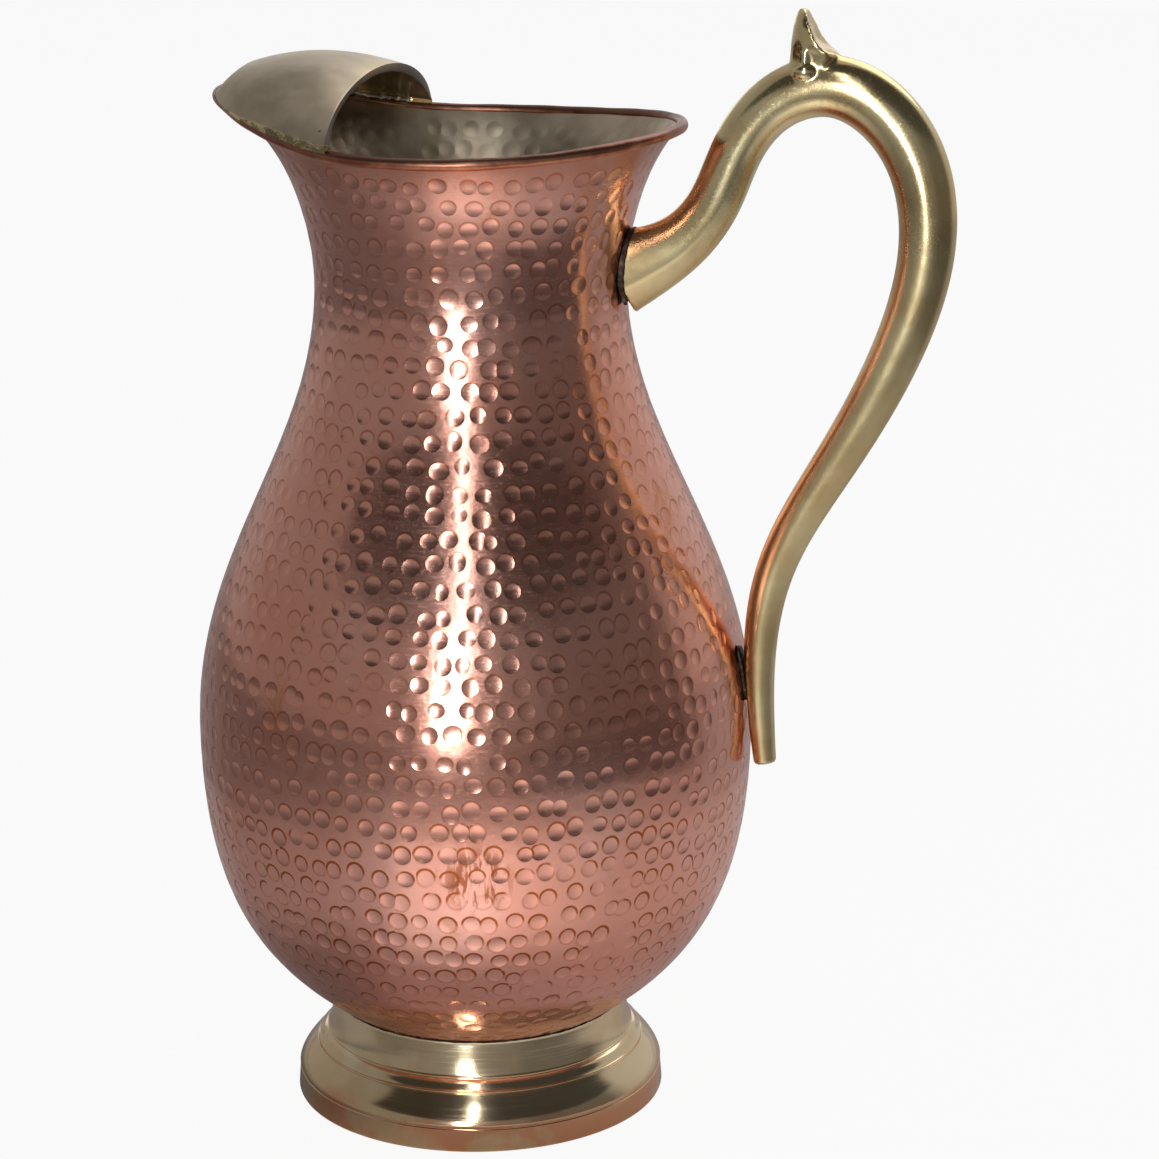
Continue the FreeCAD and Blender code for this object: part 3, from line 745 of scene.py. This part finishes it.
def handle_places(share, around):
    """Points of the bar's skin: share of its length, place round the section from 0 to 1."""
    knots = np.array(HANDLE_LINE)
    chord = lengths_along(knots)
    fine = np.linspace(0, chord[-1], 2001)
    line = np.stack([spline(chord, knots[:, 0], fine), spline(chord, knots[:, 1], fine)], 1)
    length = lengths_along(line)
    run = share * length[-1]
    centre = np.stack([np.interp(run, length, line[:, k]) for k in (0, 1)], -1)
    along = np.gradient(line, axis=0)
    along /= np.linalg.norm(along, axis=1)[:, None]
    along = np.stack([np.interp(run, length, along[:, k]) for k in (0, 1)], -1)
    rows = np.array(HANDLE_SECTIONS)
    depth, width, keel = (spline(rows[:, 0], rows[:, k], share) for k in (1, 2, 3))
    keel = np.clip(keel, 0, 1)
    crease = np.radians(-45 + 24 * keel)
    outer = around < OUTER_SHARE
    angle = crease + (math.pi - 2 * crease) * around / OUTER_SHARE
    t = (around - OUTER_SHARE) / (1 - OUTER_SHARE)
    side, level = np.cos(crease), np.sin(crease)
    pinch, drop = side * (0.45 - 0.35 * keel), (-4 - level) / 3
    inner_across = (-side * (1 - t) ** 3 - 3 * pinch * t * (1 - t) ** 2
                    + 3 * pinch * t * t * (1 - t) + side * t ** 3)
    inner_out = level * ((1 - t) ** 3 + t ** 3) + 3 * drop * t * (1 - t)
    across = np.where(outer, np.cos(angle), inner_across) * width / 2
    out = np.where(outer, np.sin(angle), inner_out) * depth / 2
    return np.stack([centre[..., 0] - along[..., 1] * out, across,
                     centre[..., 1] + along[..., 0] * out], -1)


def tube(name, rings, corners, places):
    """Capped tube from a cylinder: places() puts each point by its share of the length and of
    the way round.
    """
    bar = started(name, bpy.ops.mesh.primitive_cylinder_add, vertices=corners, radius=1, depth=2)
    bpy.ops.object.mode_set(mode="EDIT")
    bpy.ops.mesh.select_mode(type="EDGE")
    bpy.ops.mesh.select_all(action="DESELECT")
    bpy.ops.object.mode_set(mode="OBJECT")
    for edge in bar.data.edges:
        a, b = (bar.data.vertices[k].co for k in edge.vertices)
        edge.select = abs(a.z - b.z) > 1
    bpy.ops.object.mode_set(mode="EDIT")
    bpy.ops.mesh.subdivide_edgering(number_cuts=rings, interpolation="LINEAR")
    bpy.ops.mesh.select_mode(type="VERT")
    bpy.ops.object.mode_set(mode="OBJECT")
    ring = points_of(bar)
    around = (np.arctan2(ring[:, 1], ring[:, 0]) / (2 * math.pi)) % 1
    move_points(bar, places((ring[:, 2] + 1) / 2, around))
    face_outward(bar)
    return bar


def turned(name, outline, steps):
    """Closed outline (distance from the axis, height) drawn point to point and spun about Z."""
    piece = started(name, bpy.ops.mesh.primitive_plane_add, size=0.001,
                    location=(outline[0][0], 0, outline[0][1]))
    bpy.ops.object.transform_apply(location=True)
    bpy.ops.object.mode_set(mode="EDIT")
    bpy.ops.mesh.select_all(action="SELECT")
    bpy.ops.mesh.merge(type="CENTER")
    for a, b in zip(outline, outline[1:]):
        bpy.ops.mesh.extrude_region_move(
            TRANSFORM_OT_translate={"value": (b[0] - a[0], 0, b[1] - a[1])})
    bpy.ops.mesh.select_all(action="SELECT")
    bpy.ops.mesh.spin(steps=steps, angle=2 * math.pi, center=(0, 0, 0), axis=(0, 0, 1))
    bpy.ops.mesh.select_all(action="SELECT")
    bpy.ops.mesh.remove_doubles(threshold=0.000002)
    bpy.ops.mesh.normals_make_consistent(inside=False)
    bpy.ops.object.mode_set(mode="OBJECT")
    return piece


def grown_body(growth):
    """The jug's body as a plain solid, grown by this much: what the handle is ground to."""
    profile = sheet_profile(-growth)[::12]
    profile[0, 0] = 0
    outline = [tuple(p) for p in profile] + [(0.0, float(profile[-1, 1])), tuple(profile[0])]
    return turned("grown_body", outline, 128)


def thumb_places(share, around):
    """Leaf of the thumb-piece: rounded front, two edges, face hollowed toward the hand."""
    rows = np.array(THUMB)
    level = np.linspace(0, 1, len(rows))
    z, front, back, width, hollow = (np.interp(share, level, rows[:, k]) for k in range(5))
    face = around < 0.4
    t = around / 0.4
    angle = math.pi / 2 + math.pi * (around - 0.4) / 0.6
    y = np.where(face, (2 * t - 1), np.sin(angle)) * width / 2
    x = np.where(face, back - hollow * (1 - (2 * t - 1) ** 2), back + (back - front) * np.cos(angle))
    return np.stack([x, y, z], -1)


cast_handle = tube("cast_handle", 330, 64, handle_places)
leaf = tube("leaf", 40, 48, thumb_places)
pellets = []
for place, size in ((PELLET, PELLET_SIZE), (STEM, STEM_SIZE)):
    for side in (-1, 1):
        bpy.ops.mesh.primitive_uv_sphere_add(segments=32, ring_count=16, radius=1.0, scale=size,
                                             location=(place[0], side * place[1], place[2]))
        pellets.append(bpy.context.object)
        bpy.ops.object.transform_apply(location=True, scale=True)
bpy.ops.object.select_all(action="DESELECT")
for part in (leaf, *pellets, cast_handle):
    part.select_set(True)
bpy.context.view_layer.objects.active = cast_handle
bpy.ops.object.join()
bpy.ops.object.transform_apply(location=True)
apply(cast_handle, "REMESH", mode="VOXEL", voxel_size=0.00043)
apply(cast_handle, "SMOOTH", factor=0.5, iterations=6)
skin = points_of(cast_handle)
(back, front), (low, high) = LEAF_ROOT
root_of_leaf = ((skin[:, 0] > back) & (skin[:, 0] < front) & (skin[:, 2] > low) & (skin[:, 2] < high)
                & (np.abs(skin[:, 0] - PELLET[0]) + np.abs(skin[:, 2] - PELLET[2]) > 0.0034))
cast_handle.vertex_groups.new(name="fillet").add([int(k) for k in np.flatnonzero(root_of_leaf)], 1.0, "ADD")
apply(cast_handle, "SMOOTH", factor=0.5, iterations=16, vertex_group="fillet")
cast_handle.vertex_groups.clear()
ground = grown_body(HANDLE_GAP)
apply(cast_handle, "BOOLEAN", operation="DIFFERENCE", object=ground, solver="EXACT")
bpy.data.objects.remove(ground)
bpy.ops.object.shade_smooth_by_angle(angle=math.radians(50))

polished_brass = Finish("polished_brass", Metallic=1.0)
cloud = polished_brass.noise(34.0, 4.0, 0.6)
swell = polished_brass.noise(60.0, 2.0)
speckle = polished_brass.noise(1500.0, 2.0, 0.7)
ripple = polished_brass.noise(170.0, 3.0, 0.5, 0.4)
smudge = polished_brass.noise(48.0, 5.0, 0.7).between(0.60, 0.74) * 0.5
satin = polished_brass.split(polished_brass.where, "Z").between(0.262, 0.225)
polished_brass.wears(
    Base_Color=polished_brass.coats(BRASS_DEEP, (cloud.between(0.36, 0.66), BRASS), (smudge, BRASS_SMUDGE)),
    Roughness=0.15 + cloud * 0.08 + speckle.between(0.5, 0.7) * 0.09 + smudge * 0.2 + satin * 0.12,
    Normal=polished_brass.bump(swell * 0.00022 + ripple * 0.00004 + speckle * 0.0000022))
cast_handle.data.materials.clear()
cast_handle.data.materials.append(polished_brass.material)
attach(cast_handle, "root")
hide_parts("handle")

# ----------------------------------------------------------- handle brazing
# Dark, half-cleaned solder that holds the handle: a collar round its root on the neck, and a
# pad behind its tail on the belly.

BRAZE_BLACK = (0.050, 0.030, 0.024, 1)
BRAZE_BROWN = (0.26, 0.19, 0.13, 1)
BRAZE_LUMPS = {"voxel": 0.00020, "lump": 0.0004, "size": 0.0016, "smoothing": 2}
COLLAR_FLOOR = 0.2226

dark_solder = Finish("dark_solder", Metallic=0.9)
cloud = dark_solder.noise(240.0, 5.0, 0.65)
dark_solder.wears(
    Base_Color=dark_solder.coats(BRAZE_BLACK, (cloud.between(0.50, 0.72), BRAZE_BROWN)),
    Roughness=0.34 + cloud * 0.25,
    Normal=dark_solder.bump(dark_solder.noise(600.0, 3.0) * 0.00008))
for name, node, floor in (("neck_braze", "upper_handle_solder", COLLAR_FLOOR),
                          ("belly_braze", "lower_handle_solder", None)):
    braze = lumpy(name, node, floor=floor, **BRAZE_LUMPS)
    braze.data.materials.append(dark_solder.material)
    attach(braze, "root")
    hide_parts(node)

# ---------------------------------------------------------------------- foot
# Brass ring turned on a lathe: upright band, ogee in two sweeps with two fine lines cut between
# them, narrow top that carries the body. Hollow below.

FOOT_WALL = 0.0019
# the outline's corners from the table up, as distance from the axis and height
FOOT_BASE = (0.0509, 0.0)
FOOT_BAND = (0.0506, 0.0064)
FOOT_STEP = (0.0452, 0.0145)
FOOT_LINE = (0.0427, 0.0176)
FOOT_TOP = (0.0400, 0.0272)
GROOVE = 0.00035
FOOT_BRASS = (0.85, 0.67, 0.43, 1)
FOOT_DEEP = (0.72, 0.51, 0.29, 1)
FOOT_COPPERY = (0.76, 0.36, 0.19, 1)
FOOT_PIT = (0.08, 0.05, 0.03, 1)


def slant(point, length, degrees):
    """Point this far from the given one, at this slope."""
    slope = math.radians(degrees)
    return (point[0] + length * math.cos(slope), point[1] + length * math.sin(slope))


def groove(point):
    """Round-bottomed line cut into the outline at this point, drawn from below it up."""
    return [(point[0] - GROOVE * math.cos(a), point[1] + GROOVE * math.sin(a))
            for a in np.radians((-70, -35, 0, 35, 70))]


lower_sweep = [tuple(p) for p in bezier(FOOT_BAND, (FOOT_BAND[0], FOOT_BAND[1] + 0.0026),
                                        slant(FOOT_STEP, 0.0027, -49), FOOT_STEP, 22)]
upper_sweep = [tuple(p) for p in bezier(FOOT_LINE, slant(FOOT_LINE, 0.0018, 128),
                                        slant(FOOT_TOP, 0.0041, -77), FOOT_TOP, 22)]
outline = ([(FOOT_BASE[0] - 0.0004, 0.0), (FOOT_BASE[0] - 0.0001, 0.0001), (FOOT_BASE[0], 0.0004)]
           + groove(FOOT_BAND) + lower_sweep[2:] + groove(FOOT_STEP)
           + [tuple(p) for p in np.linspace(FOOT_STEP, FOOT_LINE, 6)[1:-1]] + groove(FOOT_LINE)
           + upper_sweep[2:] + [(FOOT_TOP[0], FOOT_TOP[1] + FOOT_WALL - 0.0004),
                                (FOOT_TOP[0] - 0.0003, FOOT_TOP[1] + FOOT_WALL),
                                (FOOT_TOP[0] - FOOT_WALL, FOOT_TOP[1] + FOOT_WALL)]
           + [(x - FOOT_WALL, z) for x, z in upper_sweep[:1:-3]]
           + [(FOOT_STEP[0] - FOOT_WALL, FOOT_STEP[1])]
           + [(x - FOOT_WALL, z) for x, z in lower_sweep[:1:-3]]
           + [(FOOT_BASE[0] - FOOT_WALL, 0.0003), (FOOT_BASE[0] - FOOT_WALL + 0.0003, 0.0),
              (FOOT_BASE[0] - 0.0004, 0.0)])
turned_foot = turned("turned_foot", [(float(x), float(z)) for x, z in outline], 240)
bpy.ops.object.shade_smooth_by_angle(angle=math.radians(40))

turned_brass = Finish("turned_brass", Metallic=1.0)
cloud = turned_brass.noise(30.0, 4.0, 0.6)
swell = turned_brass.noise(40.0, 1.0)
fine = turned_brass.noise((60.0, 60.0, 3200.0), 2.0)
pit = turned_brass.pits(150.0, 0.10, turned_brass.noise(80.0, 1.0).between(0.58, 0.62))
level = turned_brass.split(turned_brass.where, "Z")
low_band = (level + (cloud - 0.5) * 0.012).between(0.0125, 0.0058)
redden = low_band * (cloud * 0.6 + turned_brass.noise(75.0, 4.0, 0.65) * 0.4).between(0.43, 0.53)
turned_brass.wears(
    Base_Color=turned_brass.coats(FOOT_DEEP, (cloud.between(0.36, 0.64), FOOT_BRASS),
                                  (redden * 0.85, FOOT_COPPERY), (pit, FOOT_PIT)),
    Roughness=0.09 + cloud * 0.07 + fine.between(0.5, 0.75) * 0.08,
    Normal=turned_brass.bump(swell * 0.00010 + fine * 0.0000030 - pit * 0.0002))
turned_foot.data.materials.append(turned_brass.material)
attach(turned_foot, "root")
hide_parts("foot")

# --------------------------------------------------------------- foot solder
# Thin ring of the same dark solder that holds the body on the foot, run in from below and
# wiped smooth.

foot_seam = lumpy("foot_seam", "foot_solder", voxel=0.00032, lump=0.0003, size=0.0025, smoothing=1)
foot_seam.data.materials.append(dark_solder.material)
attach(foot_seam, "root")
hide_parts("foot_solder")

# -------------------------------------------------------------------- studio
# A white table and backdrop, two tall window lamps and one overhead. Only the metal mirrors the
# rest: a glowing tent in painted greys, open behind, and a table top of painted shade and light.

FRONT = 15
TABLE_WHITE = (0.82, 0.82, 0.82, 1)
TABLE_GLOW = 0.93
TABLE_SHEEN = 0.12
WORLD_GREY = (0.20, 0.20, 0.21, 1)
WINDOW_TINT = (0.90, 0.96, 1.0)
TENT_RADIUS = 1.9
TENT_REACH = 152
TENT_MOUTH = 0.75
# shades by azimuth round the jug in degrees, 0 in front of it
TENT_SHADES = [(-150, 0.37), (-100, 0.26), (-44, 0.27), (-26, 0.23), (24, 0.20), (34, 0.14), (88, 0.13),
               (104, 0.46), (150, 0.55)]
# a darker painted patch high in the tent's roof
ROOF_SHADE = 0.045
ROOF_MIDDLE = 0.53
# painted shade on the table top by azimuth, darkest to the left of the jug
TOP_SHADES = [(-178, 0.80), (-150, 0.60), (-110, 0.36), (-60, 0.44), (-42, 0.62), (-30, 0.80), (60, 0.80),
              (100, 0.72), (178, 0.80)]
# a painted pool of light that glows on the table top in front of the jug
TOP_LIGHT = [(-100, 0.10), (-34, 0.16), (-25, 0.60), (-2, 0.90), (20, 0.44), (48, 0.12)]
# the table far in front of the jug, painted dark
FAR_MIDDLE = 0.49
FAR_SHADES = (0.19, 0.34)


def grey(shade):
    return (shade, shade, shade, 1)


def round_jug(azimuth, distance, height):
    """Point at this azimuth round the jug."""
    a = math.radians(azimuth)
    return (math.sin(a) * distance, -math.cos(a) * distance, height)


def lamp(name, size, place, target, watts, colour=(1, 1, 1)):
    """Soft rectangular lamp, turned to its target."""
    made = started(name, bpy.ops.object.light_add, type="AREA", location=place)
    made.data.shape = "RECTANGLE"
    made.data.size, made.data.size_y = size
    made.data.energy = watts
    made.data.color = colour
    made.rotation_mode = "QUATERNION"
    made.rotation_quaternion = (Vector(place) - Vector(target)).to_track_quat("Z", "Y")


def bearings(finish):
    """Turn round the jug, 0.5 in front of it, and the place's X, Y and Z."""
    across, toward, high = (finish.split(finish.where, axis) for axis in "XYZ")
    turn = across.math("ARCTAN2", toward * -1.0) / math.pi / 2 + 0.5 - FRONT / 360
    return turn, across, toward, high


def shaded(finish, turn, shades):
    """Grey that changes round the jug."""
    stops = [(0.5 + azimuth / 360, grey(shade)) for azimuth, shade in shades]
    return finish.node("ShaderNodeValToRGB", {"stops": stops}, [turn], "Color")


def only_mirrored(piece, finish):
    """Stage that lights nothing and shows only in mirroring metal."""
    finish.material.cycles.emission_sampling = "NONE"
    piece.data.materials.append(finish.material)
    piece.visible_camera = piece.visible_shadow = piece.visible_diffuse = False


table = started("table", bpy.ops.mesh.primitive_plane_add, size=60.0)
table_white = Finish("table_white", Roughness=0.6, Base_Color=TABLE_WHITE)
seen, mirrored, through = (table_white.node("ShaderNodeLightPath", {}, [], ray)
                           for ray in ("Is Camera Ray", "Is Glossy Ray", "Is Transmission Ray"))
glow = table_white.node("ShaderNodeEmission", {}, {"Color": grey(1), "Strength": 1.0})
surface = table_white.node(
    "ShaderNodeMixShader", {}, [(seen + through).clamp() * TABLE_GLOW + mirrored * TABLE_SHEEN,
                                Wire(table_white, table_white.shader.outputs[0]), glow])
table_white.tree.links.new(surface.socket, table_white.tree.nodes["Material Output"].inputs["Surface"])
table.data.materials.append(table_white.material)

world = bpy.data.worlds.new("studio")
bpy.context.scene.world = world
world.use_nodes = True
tree = world.node_tree
path = tree.nodes.new("ShaderNodeLightPath")
shown = path.outputs["Is Camera Ray"]
for ray in ("Is Glossy Ray", "Is Transmission Ray"):
    either = tree.nodes.new("ShaderNodeMath")
    either.operation = "MAXIMUM"
    tree.links.new(shown, either.inputs[0])
    tree.links.new(path.outputs[ray], either.inputs[1])
    shown = either.outputs[0]
backdrop = tree.nodes.new("ShaderNodeMix")
backdrop.data_type = "RGBA"
backdrop.inputs[6].default_value = WORLD_GREY
backdrop.inputs[7].default_value = grey(1)
tree.links.new(shown, backdrop.inputs[0])
tree.links.new(backdrop.outputs[2], tree.nodes["Background"].inputs["Color"])

lamp("window_low", (0.17, 0.46), round_jug(4, 1.15, 0.33), (0, 0, 0.15), 3.4, WINDOW_TINT)
lamp("window_high", (0.08, 0.95), round_jug(9, 1.15, 1.00), (0, 0, 0.15), 2.3, WINDOW_TINT)
lamp("overhead", (1.3, 1.2), (0.40, 1.05, 1.35), (0, 0, 0.1), 6.5)

tent = started("glowing_tent", bpy.ops.mesh.primitive_uv_sphere_add, segments=96, ring_count=48,
               radius=TENT_RADIUS)
bpy.ops.object.mode_set(mode="EDIT")
bpy.ops.mesh.select_all(action="DESELECT")
bpy.ops.mesh.select_mode(type="FACE")
bpy.ops.object.mode_set(mode="OBJECT")
forward = Vector(round_jug(FRONT, 1, 0))
for face in tent.data.polygons:
    away = Vector((face.center.x, face.center.y, 0)).normalized()
    behind = away.dot(forward) < math.cos(math.radians(TENT_REACH)) and face.center.z < TENT_MOUTH
    face.select = face.center.z < 0 or behind
bpy.ops.object.mode_set(mode="EDIT")
bpy.ops.mesh.delete(type="FACE")
bpy.ops.object.mode_set(mode="OBJECT")
tent_glow = Finish("tent_glow", Base_Color=grey(0), Roughness=1.0, Emission_Strength=1.0)
turn, across, toward, high = bearings(tent_glow)
roof = high.between(0.90, 0.95) * (turn - ROOF_MIDDLE).math("ABSOLUTE").between(0.252, 0.236)
tent_glow.wears(
    Emission_Color=tent_glow.coats(shaded(tent_glow, turn, TENT_SHADES), (roof, grey(ROOF_SHADE))))
only_mirrored(tent, tent_glow)

shaded_top = started("painted_table_light_and_shade", bpy.ops.mesh.primitive_plane_add, size=6.0,
                     location=(0, 0, 0.0004))
bpy.ops.object.transform_apply(location=True)
top_grey = Finish("painted_table_light_and_shade", Roughness=0.9, Emission_Strength=1.0)
turn, across, toward, high = bearings(top_grey)
distance = (across * across + toward * toward) ** 0.5
# painted pool of light near the jug, and painted dark far in front of it
lit = distance.between(0.31, 0.25) * distance.between(0.080, 0.155)
far = distance.between(0.375, 0.40) * (turn - FAR_MIDDLE).math("ABSOLUTE").between(0.300, 0.250)
far_shade = top_grey.coats(grey(FAR_SHADES[0]), (turn.between(0.59, 0.51), grey(FAR_SHADES[1])))
top_grey.wears(
    Base_Color=top_grey.coats(shaded(top_grey, turn, TOP_SHADES), (far, far_shade)),
    Emission_Color=top_grey.coats(grey(0), (lit, shaded(top_grey, turn, TOP_LIGHT))))
only_mirrored(shaded_top, top_grey)

# -------------------------------------------------------------------- camera
# A long lens a little higher than the mouth and aimed slightly down, with the jug's spout and
# handle turned 15 degrees from square to it.

CAMERA_PLACE = (0.2279, -0.8505, 0.3861)
CAMERA_LENS = 104.68
CAMERA_TURN = FRONT - 1.847
CAMERA_PITCH = 15.328
CAMERA_ROLL = -0.234

camera_data = bpy.data.cameras.new("camera")
camera_data.sensor_width = 36.0
camera_data.lens = CAMERA_LENS
camera = bpy.data.objects.new("camera", camera_data)
bpy.context.scene.collection.objects.link(camera)
camera.location = CAMERA_PLACE
turn, pitch = math.radians(CAMERA_TURN), math.radians(CAMERA_PITCH)
look = Vector((-math.sin(turn) * math.cos(pitch), math.cos(turn) * math.cos(pitch), -math.sin(pitch)))
camera.rotation_mode = "QUATERNION"
camera.rotation_quaternion = (look.to_track_quat("-Z", "Y")
                              @ Quaternion((0, 0, 1), math.radians(CAMERA_ROLL)))
bpy.context.scene.camera = camera
bpy.context.scene.view_settings.view_transform = "Standard"
